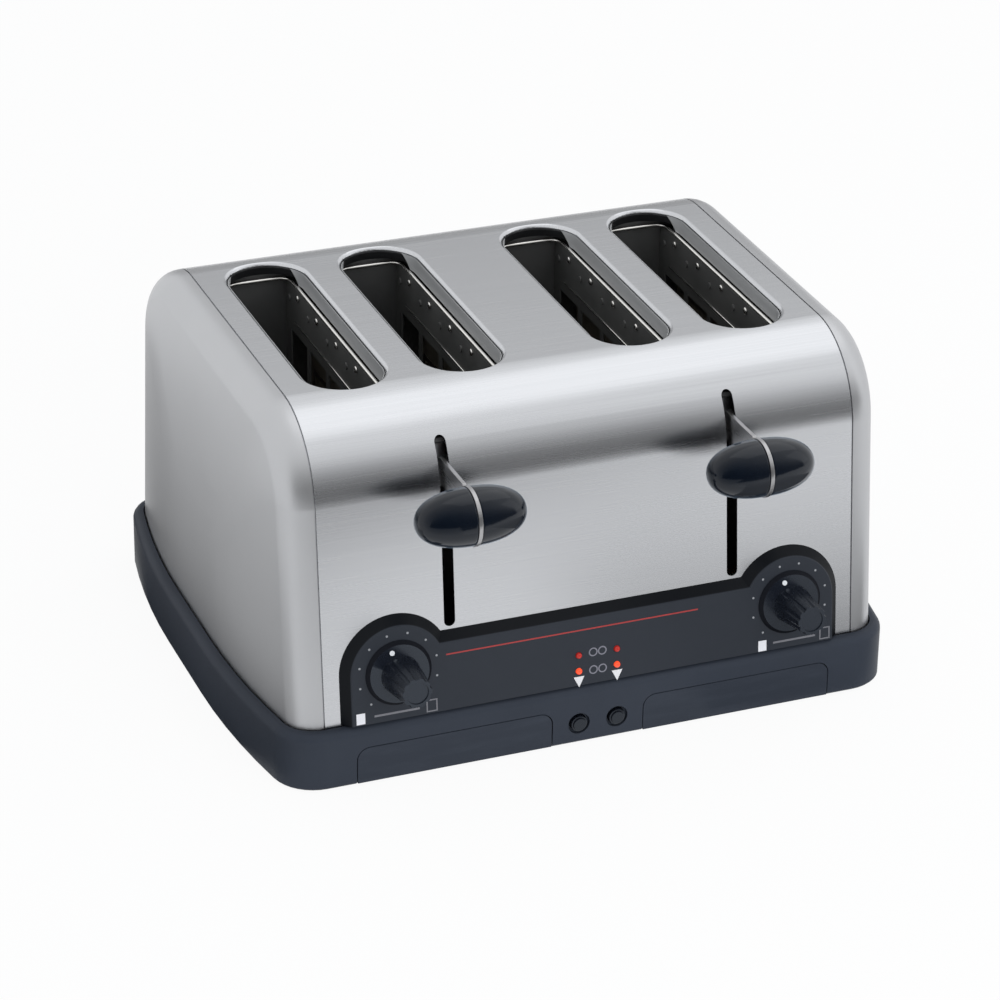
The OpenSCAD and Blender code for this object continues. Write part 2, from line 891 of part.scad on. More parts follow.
// a crumb tray: a shallow pan behind a front that lies flush in the base
module crumb_tray(s) {
    front = -half_d - base_rim;
    back = plate_y - 4;
    w = tray_w - 0.8;
    color([0.24, 0.27, 0.31])
    translate([s * tray_x, 0, 0])
    union() {
        translate([0, front + 5, 0])
            rotate([90, 0, 0])
                linear_extrude(5)
                    tray_outline(0, foot_h + 0.3);
        difference() {
            translate([-w / 2, front + 4, floor_z + 0.3])
                cube([w, back - front - 4, tray_h - 7.5]);
            translate([-w / 2 + 1, front + 5, floor_z + 1.3])
                cube([w - 2, back - front - 6, 20]);
        }
    }
}

// the cord gland in the rear wall: flange outside, bush through the wall, nut inside
module cord_gland() {
    rear = half_d + base_rim;
    color([0.05, 0.05, 0.05])
    translate([0, 0, gland_z])
    difference() {
        union() {
            bar_y(9, rear, rear + gland_flange);
            bar_y(6.5, half_d - 12, rear + 1);
            translate([0, half_d - 7.3, 0])
                rotate([-90, 0, 0])
                    cylinder(r = 9, h = 4, $fn = 6);
        }
        bar_y(4, half_d - 20, rear + 10);
    }
}

// the terminal block on the base floor, behind the trays
module terminal_block() {
    color([0.85, 0.83, 0.76])
    translate([-15, half_d - 40, floor_z])
        difference() {
            cube([30, 16, 14]);
            for (i = [0:2])
                translate([6 + 9 * i, 8, 6])
                    cylinder(r = 2.5, h = 10, $fn = 32);
        }
}

// every node once

// which node is drawn

place() base_tray();
place() rubber_feet();
place() base_screws();
place() wrap_shell();
place() control_panel();
place() indicator_lights();
place() control_board();
place() chassis_front();
place() chassis_rear();
place() centre_divider();
place() cord_gland();
place() terminal_block();
for (side = SIDES) {
    place() end_cap(side[1]);
    place() side_shield(side[1]);
    place() heater_ribbons(side[1]);
    place() timer_pot(side[1]);
    place() dial(side[1]);
    place() guide_rod(side[1]);
    place() carriage(side[1]);
    place() lever_arm(side[1]);
    place() lever_grip(side[1]);
    place() latch_keeper(side[1]);
    place() latch_magnet(side[1]);
    place() return_spring(side[1]);
    place() push_button(side[1]);
    place() mode_switch(side[1]);
    place() crumb_tray(side[1]);
    place() heater_board(side[1], 0);
    place() heater_board(side[1], 1);
    place() heater_board(side[1], 2);
}
for (k = [1:4]) {
    place() guards(well_xs[k - 1]);
    place() guard_frame(well_xs[k - 1]);
    place() lifter(well_xs[k - 1]);
}
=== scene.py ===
import json
import math
import bmesh
import bpy
from mathutils import Matrix, Vector

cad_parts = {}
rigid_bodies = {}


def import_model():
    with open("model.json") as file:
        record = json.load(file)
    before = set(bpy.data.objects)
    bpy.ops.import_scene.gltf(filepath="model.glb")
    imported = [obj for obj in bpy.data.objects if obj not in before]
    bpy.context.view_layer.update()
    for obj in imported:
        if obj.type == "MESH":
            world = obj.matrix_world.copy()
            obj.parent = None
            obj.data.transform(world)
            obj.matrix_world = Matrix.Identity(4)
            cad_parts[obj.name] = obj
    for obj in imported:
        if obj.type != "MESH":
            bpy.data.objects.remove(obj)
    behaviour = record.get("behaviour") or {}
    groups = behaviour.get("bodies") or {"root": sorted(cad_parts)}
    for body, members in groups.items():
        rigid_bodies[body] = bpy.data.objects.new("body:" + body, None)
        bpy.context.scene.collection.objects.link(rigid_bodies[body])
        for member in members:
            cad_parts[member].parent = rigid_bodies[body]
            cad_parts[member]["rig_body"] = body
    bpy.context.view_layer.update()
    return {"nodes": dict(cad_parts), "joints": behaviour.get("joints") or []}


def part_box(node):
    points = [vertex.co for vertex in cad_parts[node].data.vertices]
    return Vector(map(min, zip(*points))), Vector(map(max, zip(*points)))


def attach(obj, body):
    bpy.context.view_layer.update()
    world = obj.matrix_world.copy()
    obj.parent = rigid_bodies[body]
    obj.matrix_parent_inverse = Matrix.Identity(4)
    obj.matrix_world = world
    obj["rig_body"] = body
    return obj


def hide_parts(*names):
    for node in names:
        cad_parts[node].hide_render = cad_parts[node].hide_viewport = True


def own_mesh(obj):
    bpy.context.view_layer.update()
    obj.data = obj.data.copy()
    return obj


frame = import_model()
scene = bpy.context.scene
scene.view_settings.view_transform = "Standard"

# Camera
# The photograph looks down at the toaster from its front left, through a long
# lens, and the toaster stands a little to the left of the lens's own axis.
camera_spot = (-0.61382, -1.52988, 0.91811)
yaw, pitch, roll = (math.radians(degrees) for degrees in (-22.542, 26.444, 1.259))
back = Vector((math.sin(yaw) * math.cos(pitch), -math.cos(yaw) * math.cos(pitch), math.sin(pitch)))
level = Vector((0, 0, 1)).cross(back).normalized()
rise = back.cross(level)
across = level * math.cos(roll) + rise * math.sin(roll)
upward = rise * math.cos(roll) - level * math.sin(roll)
camera = bpy.data.objects.new("camera", bpy.data.cameras.new("camera"))
scene.collection.objects.link(camera)
camera_turn = Matrix((across, upward, back)).transposed().to_4x4()
camera.matrix_world = Matrix.Translation(camera_spot) @ camera_turn
camera.data.sensor_width = 36
camera.data.lens = 136.87
camera.data.shift_x = -0.05
camera.data.shift_y = -0.05
camera.data.clip_start = 0.05
scene.camera = camera

# Studio
# A white paper table under a pale sky, with soft boxes overhead, at the right and
# in front. Grey cards stand before and behind the toaster and lie on the table.
# Only reflections show them, and they give the steel its bands. Two of the table's
# cards darken toward the toaster, as painted shadow in what the base and caps reflect.


# A Shade is one socket in a finish's node tree. Python's own operators on it add
# Math nodes, and node() adds any other kind.
class Shade:
    def __init__(self, tree, socket=None):
        self.tree = tree
        self.socket = socket

    def node(self, kind, settings=None, inputs=None, out=0):
        made = self.tree.nodes.new("ShaderNode" + kind)
        for key, value in (settings or {}).items():
            if key == "stops":
                ramp = made.color_ramp
                while len(ramp.elements) < len(value):
                    ramp.elements.new(1.0)
                for element, (place, grey) in zip(ramp.elements, value):
                    element.position = place
                    element.color = (grey, grey, grey, 1)
            else:
                setattr(made, key, value)
        for key, value in (inputs or {}).items():
            if isinstance(value, Shade):
                self.tree.links.new(value.socket, made.inputs[key])
            else:
                made.inputs[key].default_value = value
        return Shade(self.tree, made.outputs[out] if made.outputs else None)

    def math(self, operation, a, b=0.0):
        return self.node("Math", {"operation": operation}, {0: a, 1: b})

    def __add__(self, other):
        return self.math("ADD", self, other)

    def __radd__(self, other):
        return self.math("ADD", other, self)

    def __sub__(self, other):
        return self.math("SUBTRACT", self, other)

    def __rsub__(self, other):
        return self.math("SUBTRACT", other, self)

    def __mul__(self, other):
        return self.math("MULTIPLY", self, other)

    def __rmul__(self, other):
        return self.math("MULTIPLY", other, self)

    def __truediv__(self, other):
        return self.math("DIVIDE", self, other)

    def __rtruediv__(self, other):
        return self.math("DIVIDE", other, self)

    def place(self):
        return self.node("TexCoord", out="Object")

    def axis(self, vector, name):
        return self.node("SeparateXYZ", inputs={"Vector": vector}, out=name)

    def stretched(self, vector, scale):
        return self.node("Mapping", inputs={"Vector": vector, "Scale": scale})

    def noise(self, vector, scale=1.0, detail=3.0, rough=0.55):
        return self.node("TexNoise", inputs={
            "Vector": vector, "Scale": scale, "Detail": detail, "Roughness": rough})

    def ramp(self, *stops):
        return self.node("ValToRGB", {"stops": stops}, {0: self})

    def blend(self, factor, first, second):
        first, second = ((*c, 1) if isinstance(c, tuple) else c for c in (first, second))
        return self.node("Mix", {"data_type": "RGBA"}, {0: factor, 6: first, 7: second}, out=2)

    def bump(self, height, strength, distance=0.0002):
        return self.node("Bump", inputs={
            "Height": height, "Strength": strength, "Distance": distance})

    # 1 where the camera sees it, straight, mirrored or through glass
    def seen(self):
        straight, mirrored, through = (
            self.node("LightPath", out=f"Is {ray} Ray") for ray in ("Camera", "Glossy", "Transmission"))
        return self.math("MAXIMUM", self.math("MAXIMUM", straight, mirrored), through)

    def close(self, sockets):
        self.node("OutputMaterial", inputs={"Surface": self.node("BsdfPrincipled", inputs=sockets)})


def finish(name):
    material = bpy.data.materials.new(name)
    material.use_nodes = True
    material.node_tree.nodes.clear()
    return material, Shade(material.node_tree)


def set_out(name, shape, material):
    mesh = bpy.data.meshes.new(name)
    shape.to_mesh(mesh)
    shape.free()
    mesh.materials.append(material)
    piece = bpy.data.objects.new(name, mesh)
    scene.collection.objects.link(piece)
    return piece


# A card's grey follows its stops along the direction course, over the stretch span.
def studio_card(name, centre, facing, size, course, span, stops):
    cloth, shade = finish(name + "_cloth")
    along = shade.node("VectorMath", {"operation": "DOT_PRODUCT"}, {0: shade.place(), 1: course}, "Value")
    grey = ((along - span[0]) / (span[1] - span[0])).ramp(*stops)
    glow = shade.node("Emission", inputs={"Color": grey, "Strength": 1.0})
    shade.node("OutputMaterial", inputs={"Surface": glow})
    shape = bmesh.new()
    bmesh.ops.create_grid(shape, x_segments=1, y_segments=1, size=0.5)
    bmesh.ops.scale(shape, vec=(*size, 1), verts=shape.verts)
    turn = Vector(facing).to_track_quat("Z", "Y").to_matrix().to_4x4()
    bmesh.ops.transform(shape, matrix=Matrix.Translation(centre) @ turn, verts=shape.verts)
    card = set_out(name, shape, cloth)
    card.visible_camera = False
    card.visible_diffuse = False
    card.visible_shadow = False
    card.visible_transmission = False


studio_card(
    "card_front", centre=(0.3, -1.1, 0.95), facing=(0, 1, 0), size=(3.6, 1.9),
    course=(0, 0, 1), span=(0.0, 1.9),
    stops=((0.0, 0.16), (0.10, 0.17), (0.19, 0.24), (0.28, 0.38), (0.39, 0.56), (0.61, 0.95), (1.0, 1.0)))
studio_card(
    "card_back", centre=(0.6, 1.5, 0.65), facing=(0, -1, 0), size=(1.4, 1.3),
    course=(0, 0, 1), span=(0.0, 1.3),
    stops=((0.0, 0.42), (0.55, 0.48), (0.65, 0.55), (0.74, 0.65), (0.86, 0.82), (1.0, 1.0)))
# Painted shadow: this card darkens toward the base's left side, for the base and the lower left cap to
# reflect.
studio_card(
    "card_floor_left", centre=(-0.29, 0.155, 0.001), facing=(0, 0, 1), size=(0.26, 0.55),
    course=(1, 0, 0), span=(-0.42, -0.16),
    stops=((0.0, 1.0), (0.3, 0.76), (0.5, 0.45), (0.8, 0.55), (0.9, 0.14), (1.0, 0.03)))
# Painted shadow: this card darkens toward the toaster's front, for the lower front to reflect.
studio_card(
    "card_floor_front", centre=(0.18, -0.27, 0.0012), facing=(0, 0, 1), size=(0.24, 0.30),
    course=(0, 1, 0), span=(-0.42, -0.12),
    stops=((0.0, 1.1), (0.2, 0.90), (0.45, 0.70), (0.75, 0.45), (1.0, 0.08)))
studio_card(
    "card_floor_far", centre=(1.025, -0.7, 0.001), facing=(0, 0, 1), size=(2.15, 0.8),
    course=(0.56, 0.83, 0), span=(-0.50, -0.34),
    stops=((0.0, 0.16), (0.35, 0.20), (0.5, 0.38), (0.62, 0.92), (0.72, 1.14), (1.0, 1.14)))

world = bpy.data.worlds.new("studio")
scene.world = world
world.use_nodes = True
world.node_tree.nodes.clear()
sky = Shade(world.node_tree)
dome = sky.node("Background", inputs={"Color": (0.92, 0.96, 1.0, 1), "Strength": 0.66})
backdrop = sky.node("Background", inputs={"Color": (1, 1, 1, 1), "Strength": 1.0})
sky.node("OutputWorld", inputs={
    "Surface": sky.node("MixShader", inputs={0: sky.seen(), 1: dome, 2: backdrop})})

table_half = 6
table_whiteness = 0.93
table_finish, shade = finish("table_paper")
matt = shade.node("BsdfDiffuse", inputs={"Color": (0.94, 0.94, 0.94, 1)})
white = shade.node("Emission", inputs={"Color": (1, 1, 1, 1), "Strength": 1.0})
shade.node("OutputMaterial", inputs={
    "Surface": shade.node("MixShader", inputs={0: shade.seen() * table_whiteness, 1: matt, 2: white})})
shape = bmesh.new()
bmesh.ops.create_grid(shape, x_segments=1, y_segments=1, size=table_half)
table = set_out("table", shape, table_finish)


def soft_box(name, spot, aim, size, power, mirrored):
    lamp = bpy.data.lights.new(name, "AREA")
    lamp.shape = "RECTANGLE"
    lamp.size, lamp.size_y = size
    lamp.energy = power
    holder = bpy.data.objects.new(name, lamp)
    holder.location = spot
    holder.rotation_euler = (Vector(spot) - Vector(aim)).to_track_quat("Z", "Y").to_euler()
    holder.visible_glossy = mirrored
    scene.collection.objects.link(holder)


soft_box("soft_box_top", spot=(0.65, 0.25, 1.7), aim=(0.2, 0, 0.1),
         size=(1.3, 1.8), power=3.2, mirrored=True)
soft_box("soft_box_right", spot=(1.7, -0.9, 1.0), aim=(0, 0, 0.1),
         size=(1.4, 1.4), power=1.6, mirrored=True)
soft_box("soft_box_front", spot=(0.3, -2.2, 1.0), aim=(0, 0, 0.05),
         size=(1.6, 1.2), power=25, mirrored=False)

# Base moulding
# The dark tray that everything stands on, with a rounded shoulder all round. It is
# one blue-grey moulding with a satin grain. Its edges are a little broken, as a
# mould leaves them.
weld_reach = 0.000004
flat_within = math.radians(0.4)


def smooth(faces):
    for face in faces:
        face.smooth = True


# A copy of a CAD node. Edges that turn by more than sharp degrees are broken by edge.
def dressed(node, material, edge, sharp=40, segments=2):
    source = frame["nodes"][node]
    limit = math.radians(sharp)
    shape = bmesh.new()
    shape.from_mesh(source.data)
    bmesh.ops.remove_doubles(shape, verts=shape.verts, dist=weld_reach)
    bmesh.ops.dissolve_limit(shape, angle_limit=flat_within, verts=shape.verts, edges=shape.edges)
    if edge:
        corners = [e for e in shape.edges if e.is_manifold and e.calc_face_angle() > limit]
        bmesh.ops.bevel(shape, geom=corners, offset=edge, offset_type="OFFSET", affect="EDGES",
                        segments=segments, profile=0.5, material=-1, clamp_overlap=True)
    smooth(shape.faces)
    for e in shape.edges:
        e.smooth = not e.is_manifold or e.calc_face_angle() < limit
    piece = set_out(node + "_skin", shape, material)
    weigh = piece.modifiers.new("weigh", "WEIGHTED_NORMAL")
    weigh.keep_sharp = True
    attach(piece, source["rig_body"])
    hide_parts(node)
    return piece


base_blue = (0.031, 0.037, 0.050)
base_finish, shade = finish("base_satin")
spot = shade.place()
grain = shade.noise(spot, scale=1400, detail=2.0)
cloud = shade.noise(spot, scale=18)
shade.close({
    "Base Color": shade.blend(cloud.ramp((0.3, 0), (0.7, 1)), base_blue, (0.036, 0.043, 0.058)),
    "Roughness": 0.40 + grain * 0.12,
    "Normal": shade.bump(grain, strength=0.12),
    "Specular IOR Level": 0.13,
})
dressed("base_tray", base_finish, edge=0.0006)

# Crumb trays
# Two pans folded from sheet steel and painted to match the base. They slide in from
# the front, which lies flush, and a thin dark line is all that shows round them.
tray_finish, shade = finish("tray_paint")
spot = shade.place()
grain = shade.noise(spot, scale=900, detail=2.0)
scuff = shade.noise(shade.stretched(spot, (30, 220, 220)), detail=4.0)
shade.close({
    "Base Color": shade.blend(scuff.ramp((0.45, 0), (0.75, 1)), base_blue, (0.038, 0.045, 0.060)),
    "Roughness": 0.36 + grain * 0.14,
    "Normal": shade.bump(grain, strength=0.08),
    "Specular IOR Level": 0.13,
})
sides = ("left", "right")
for side in sides:
    dressed("crumb_tray_" + side, tray_finish, edge=0.0005)

# Feet, screws and gland
# Rubber feet are pushed into the base's floor by their stems, and plated screws run
# up through it into the side shields. The black moulded gland for the cord goes
# through the rear wall and is held by its nut.
rubber_finish, shade = finish("foot_rubber")
dust = shade.noise(shade.place(), scale=300)
shade.close({
    "Base Color": shade.blend(dust, (0.012, 0.012, 0.012), (0.03, 0.03, 0.03)),
    "Roughness": 0.75 + dust * 0.15,
})
dressed("rubber_feet", rubber_finish, edge=0.0004)

zinc_finish, shade = finish("zinc_plate")
spangle = shade.noise(shade.place(), scale=90, detail=2.0)
shade.close({
    "Base Color": shade.blend(spangle, (0.40, 0.41, 0.43), (0.50, 0.51, 0.53)),
    "Roughness": 0.34 + spangle * 0.16,
    "Metallic": 1.0,
})
dressed("base_screws", zinc_finish, edge=0.0002)

black_finish, shade = finish("moulded_black")
grain = shade.noise(shade.place(), scale=1100, detail=2.0)
shade.close({
    "Base Color": (0.012, 0.0125, 0.014, 1),
    "Roughness": 0.38 + grain * 0.16,
    "Normal": shade.bump(grain, strength=0.10),
})
dressed("cord_gland", black_finish, edge=0.0003, sharp=25)

# Chassis plates
# Plates of plated sheet that stand in the base's webs and carry the wells and the
# lever works. Only dark metal shows of them, deep in the slots.
works_finish, shade = finish("chassis_plate")
tint = shade.noise(shade.place(), scale=25)
shade.close({
    "Base Color": shade.blend(tint, (0.16, 0.165, 0.17), (0.26, 0.26, 0.26)),
    "Roughness": 0.42 + tint * 0.2,
    "Metallic": 0.9,
})


# A CAD node that keeps its own mesh and takes a finish.
def coated(node, material):
    slots = frame["nodes"][node].data.materials
    slots.clear()
    slots.append(material)


for node in ("chassis_front", "chassis_rear", "centre_divider"):
    coated(node, works_finish)
for side in sides:
    coated("side_shield_" + side, works_finish)

# Heater boards
# Sheets of mica beside and between the wells, held by the front and rear plates. A
# flat ribbon of resistance alloy is laid to and fro over the faces toward the bread.
mica_finish, shade = finish("mica_sheet")
flake = shade.noise(shade.place(), scale=120, detail=4.0)
shade.close({
    "Base Color": shade.blend(flake, (0.13, 0.11, 0.085), (0.21, 0.185, 0.15)),
    "Roughness": 0.5 + flake * 0.3,
})
ribbon_finish, shade = finish("ribbon_alloy")
heat_tint_and_painted_rim_shade = shade.noise(shade.place(), scale=60)
shade.close({
    "Base Color": shade.blend(heat_tint_and_painted_rim_shade, (0.10, 0.085, 0.08), (0.18, 0.15, 0.14)),
    "Roughness": 0.45 + heat_tint_and_painted_rim_shade * 0.2,
    "Metallic": 0.9,
})
for side in sides:
    for where in ("outer", "middle", "inner"):
        coated(f"heater_board_{side}_{where}", mica_finish)
    coated("heater_ribbons_" + side, ribbon_finish)

# Lever works
# A plated rod, held in a shelf and a tab of the front plate, guides each carriage with
# its two sheet-metal lifters and its keeper. When the lever is down, a magnet wound
# with copper wire holds the keeper.
copper_finish, shade = finish("copper_winding")
turns = shade.noise(shade.stretched(shade.place(), (40, 40, 2500)), detail=1.0)
shade.close({
    "Base Color": shade.blend(turns, (0.30, 0.11, 0.04), (0.48, 0.20, 0.08)),
    "Roughness": 0.3 + turns * 0.2,
    "Metallic": 0.8,
    "Normal": shade.bump(turns, strength=0.4),
})
for side in sides:
    coated("latch_magnet_" + side, copper_finish)
    for part in ("guide_rod_", "carriage_", "latch_keeper_"):
        coated(part + side, zinc_finish)
well_numbers = (1, 2, 3, 4)
for number in well_numbers:
    coated(f"lifter_{number}", works_finish)

# Return springs
# A coil of plated wire stands round each guide rod, between its shelf and the
# carriage that it pushes up. The real coil closes up as the lever goes down, but
# this one keeps its shape.
for side, rod_x in (("left", -0.07095), ("right", 0.07095)):
    spring = dressed("return_spring_" + side, zinc_finish, edge=0, sharp=60)
    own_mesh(spring)

# Electrical pieces
# The green control board stands on the panel's pillars, with a plated timer
# potentiometer for each dial. Black switches behind the buttons and a cream terminal
# block for the cord stand on the base's floor.
board_finish, shade = finish("board_green")
tracks = shade.noise(shade.stretched(shade.place(), (500, 900, 900)), detail=1.0)
shade.close({
    "Base Color": shade.blend(tracks.ramp((0.48, 0), (0.52, 1)), (0.01, 0.06, 0.025), (0.02, 0.10, 0.045)),
    "Roughness": 0.35 + tracks * 0.2,
})
cream_finish, shade = finish("block_cream")
mottle = shade.noise(shade.place(), scale=200, detail=2.0)
shade.close({
    "Base Color": shade.blend(mottle, (0.60, 0.56, 0.46), (0.66, 0.62, 0.52)),
    "Roughness": 0.3 + mottle * 0.1,
})
coated("control_board", board_finish)
coated("terminal_block", cream_finish)
for side in sides:
    coated("timer_pot_" + side, zinc_finish)
    coated("mode_switch_" + side, black_finish)

# Bread wells
# Each well has two guards of heat-darkened sheet with windows. The dots riveted on
# them and the wire welded along them stay bright, and so does the wire rim that is
# laid on their upper edges.
guard_finish, shade = finish("guard_dark")
spot = shade.place()
tint = shade.noise(spot, scale=35, detail=4.0)
soot = shade.noise(shade.stretched(spot, (60, 60, 12)), detail=4.0)
shade.close({
    "Base Color": shade.blend(tint * 0.6 + soot * 0.4, (0.105, 0.108, 0.108), (0.195, 0.195, 0.19)),
    "Roughness": 0.48 + soot * 0.25,
    "Metallic": 0.65,
})
bright_finish, shade = finish("bright_wire")
wear = shade.noise(shade.place(), scale=140)
shade.close({
    "Base Color": shade.blend(wear, (0.70, 0.69, 0.66), (0.86, 0.85, 0.83)),
    "Roughness": 0.16 + wear * 0.16,
    "Metallic": 1.0,
})
rivets_in_row = 5
rivet_pitch = 0.0284
rivet_radius = 0.0018
rivet_flatness = 0.45
rivet_reach = 0.0156
rivet_z = 0.161
wire_radius = 0.00042
wire_length = 0.124
wire_reach = 0.0157
wire_z = 0.1468


def middle(node):
    low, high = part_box(node)
    return (Vector(low) + Vector(high)) / 2


wells = [middle(f"guards_{number}") for number in well_numbers]
lay_along = Matrix.Rotation(math.pi / 2, 4, "X")
flatten = Matrix.Diagonal((rivet_flatness, 1, 1, 1))
trim = bmesh.new()
for number, well in zip(well_numbers, wells):
    dressed(f"guards_{number}", guard_finish, edge=0.0001, segments=1)
    dressed(f"guard_frame_{number}", bright_finish, edge=0)
    for hand in (-1, 1):
        for i in range(rivets_in_row):
            rivet_y = well.y + (i - (rivets_in_row - 1) / 2) * rivet_pitch
            seat = Matrix.Translation((well.x + hand * rivet_reach, rivet_y, rivet_z))
            bmesh.ops.create_uvsphere(trim, u_segments=12, v_segments=6, radius=rivet_radius,
                                      matrix=seat @ flatten)
        seat = Matrix.Translation((well.x + hand * wire_reach, well.y, wire_z))
        bmesh.ops.create_cone(trim, cap_ends=True, segments=10, radius1=wire_radius, radius2=wire_radius,
                              depth=wire_length, matrix=seat @ lay_along)
smooth(trim.faces)
rivets = set_out("guard_rivets", trim, bright_finish)
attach(rivets, "housing")

# Wrap
# One stainless sheet bent over front, top and rear, with its brushing from side to
# side. The slots have turned-down rims, painted dark inside as shade.
steel_finish, shade = finish("brushed_wrap")
spot = shade.place()
fine = shade.noise(shade.stretched(spot, (6, 2400, 2400)), rough=0.6)
broad = shade.noise(shade.stretched(spot, (3, 420, 420)), rough=0.5)
streak = fine * 0.75 + broad * 0.25
smear = shade.noise(spot, scale=11, detail=4.0)
brushed = shade.blend(streak.ramp((0.3, 0), (0.7, 1)), (0.560, 0.573, 0.598), (0.610, 0.623, 0.648))
# Painted shade: below the rim's top, the inner walls of the slots are coloured near black and made rougher.
rim_half_length = 0.0755
rim_end_fade = 0.001
rim_z = 0.1736
rim_fade = 0.0014
from_middle = shade.math("ABSOLUTE", shade.axis(spot, "Y") - wells[0].y)
within = ((rim_half_length - from_middle) / rim_end_fade).ramp((0, 0), (1, 1))
below = ((rim_z - shade.axis(spot, "Z")) / rim_fade).ramp((0, 0), (1, 1))
heat_tint_and_painted_rim_shade = within * below
shade.close({
    "Base Color": shade.blend(heat_tint_and_painted_rim_shade, brushed, (0.05, 0.052, 0.056)),
    "Roughness": 0.20 + streak * 0.08 + smear * 0.05 + heat_tint_and_painted_rim_shade * 0.2,
    "Metallic": 1.0,
    "Normal": shade.bump(streak, strength=0.009),
})
dressed("wrap_shell", steel_finish, edge=0.00025, sharp=30, segments=1)

# Slot liners
# A strip of coarse satin steel lines each long side of a slot, from inside the
# turned-down rim to the wire that it rests on, and guides the bread in.
liner_finish, shade = finish("liner_satin")
rub = shade.noise(shade.stretched(shade.place(), (300, 12, 300)), detail=4.0)
shade.close({
    "Base Color": shade.blend(rub, (0.40, 0.405, 0.41), (0.56, 0.565, 0.57)),
    "Roughness": 0.42 + rub * 0.2,
    "Metallic": 0.45,
})
liner_sides = 64
liner_radius = 0.0194
liner_foot_radius = 0.0183
liner_drop = 0.0065
liner_half_straight = 0.054
liner_half_length = 0.066
liner_thickness = 0.0003
liner_z = 0.1732
liner_sharp = math.radians(40)
cut_slack = 0.000001


def points_of(geometry):
    return [g for g in geometry if isinstance(g, bmesh.types.BMVert)]


# One slot's ring is drawn at the origin, flared, pulled long and cut slanting at both
# ends, which leaves the two strips. Then it is set in the first slot and copied.
liners = bmesh.new()
bmesh.ops.create_circle(liners, segments=liner_sides, radius=liner_radius,
                        matrix=Matrix.Rotation(math.pi / liner_sides, 4, "Z"))
foot = points_of(bmesh.ops.extrude_edge_only(liners, edges=liners.edges[:])["geom"])
narrowing = liner_foot_radius / liner_radius
bmesh.ops.scale(liners, vec=(narrowing, narrowing, 1), verts=foot)
bmesh.ops.translate(liners, vec=(0, 0, -liner_drop), verts=foot)
for end in (-1, 1):
    half = [p for p in liners.verts if p.co.y * end > 0]
    bmesh.ops.translate(liners, vec=(0, end * liner_half_straight, 0), verts=half)
for end in (-1, 1):
    bmesh.ops.bisect_plane(liners, geom=liners.verts[:] + liners.edges[:] + liners.faces[:], dist=cut_slack,
                           plane_co=(0, end * liner_half_length, 0), plane_no=(0, end, -1), clear_outer=True)
bmesh.ops.recalc_face_normals(liners, faces=liners.faces)
bmesh.ops.solidify(liners, geom=liners.faces[:], thickness=liner_thickness)
bmesh.ops.translate(liners, vec=(wells[0].x, wells[0].y, liner_z), verts=liners.verts)
bmesh.ops.recalc_face_normals(liners, faces=liners.faces)
first_slot = liners.verts[:] + liners.edges[:] + liners.faces[:]
for well in wells[1:]:
    copy = bmesh.ops.duplicate(liners, geom=first_slot)["geom"]
    bmesh.ops.translate(liners, vec=well - wells[0], verts=points_of(copy))
smooth(liners.faces)
piece = set_out("slot_liners", liners, liner_finish)
piece.data.set_sharp_from_angle(angle=liner_sharp)
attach(piece, "housing")

# End caps
# Pressed stainless caps with a fine blasted satin. Their joggled flange is tucked
# under the wrap's edge, and the seam shows as one thin dark line.
cap_finish, shade = finish("satin_cap")
spot = shade.place()
speck = shade.noise(spot, scale=1500, detail=2.0)
cloud = shade.noise(spot, scale=30, detail=4.0)
shade.close({
    "Base Color": shade.blend(speck * 0.5 + cloud * 0.5, (0.490, 0.499, 0.517), (0.548, 0.557, 0.575)),
    "Roughness": 0.34 + speck * 0.10,
    "Metallic": 1.0,
    "Normal": shade.bump(speck, strength=0.10),
})
for side in sides:
    dressed("end_cap_" + side, cap_finish, edge=0.0003, sharp=35, segments=1)

# Levers
# A bright steel plate runs in each slot and ends in a black grip moulded in two
# halves, so the plate's edge shows as a bright line round the grip.
lever_finish, shade = finish("lever_plate")
grind = shade.noise(shade.stretched(shade.place(), (200, 40, 1500)))
shade.close({
    "Base Color": shade.blend(grind, (0.36, 0.36, 0.37), (0.46, 0.46, 0.47)),
    "Roughness": 0.2 + grind * 0.2,
    "Metallic": 1.0,
})
grip_finish, shade = finish("grip_gloss")
mark = shade.noise(shade.place(), scale=260, detail=4.0)
aside = shade.node("LayerWeight", inputs={"Blend": 0.5}, out="Facing")
shade.close({
    "Base Color": shade.blend(mark, (0.0014, 0.0030, 0.0070), (0.0026, 0.0050, 0.0100)),
    "Roughness": 0.13 + mark * 0.08,
    "Specular IOR Level": 0.1,
    "Specular Tint": (0.72, 0.84, 1.0, 1),
    "Coat Weight": aside.ramp((0.0, 0.0), (0.05, 0.2), (0.18, 0.6)),
    "Coat Roughness": 0.10,
    "Sheen Weight": 0.3,
    "Sheen Roughness": 0.3,
    "Sheen Tint": (0.6, 0.78, 1.0, 1),
})
for side in sides:
    dressed("lever_arm_" + side, lever_finish, edge=0.0004)
    dressed("lever_grip_" + side, grip_finish, edge=0.0005)

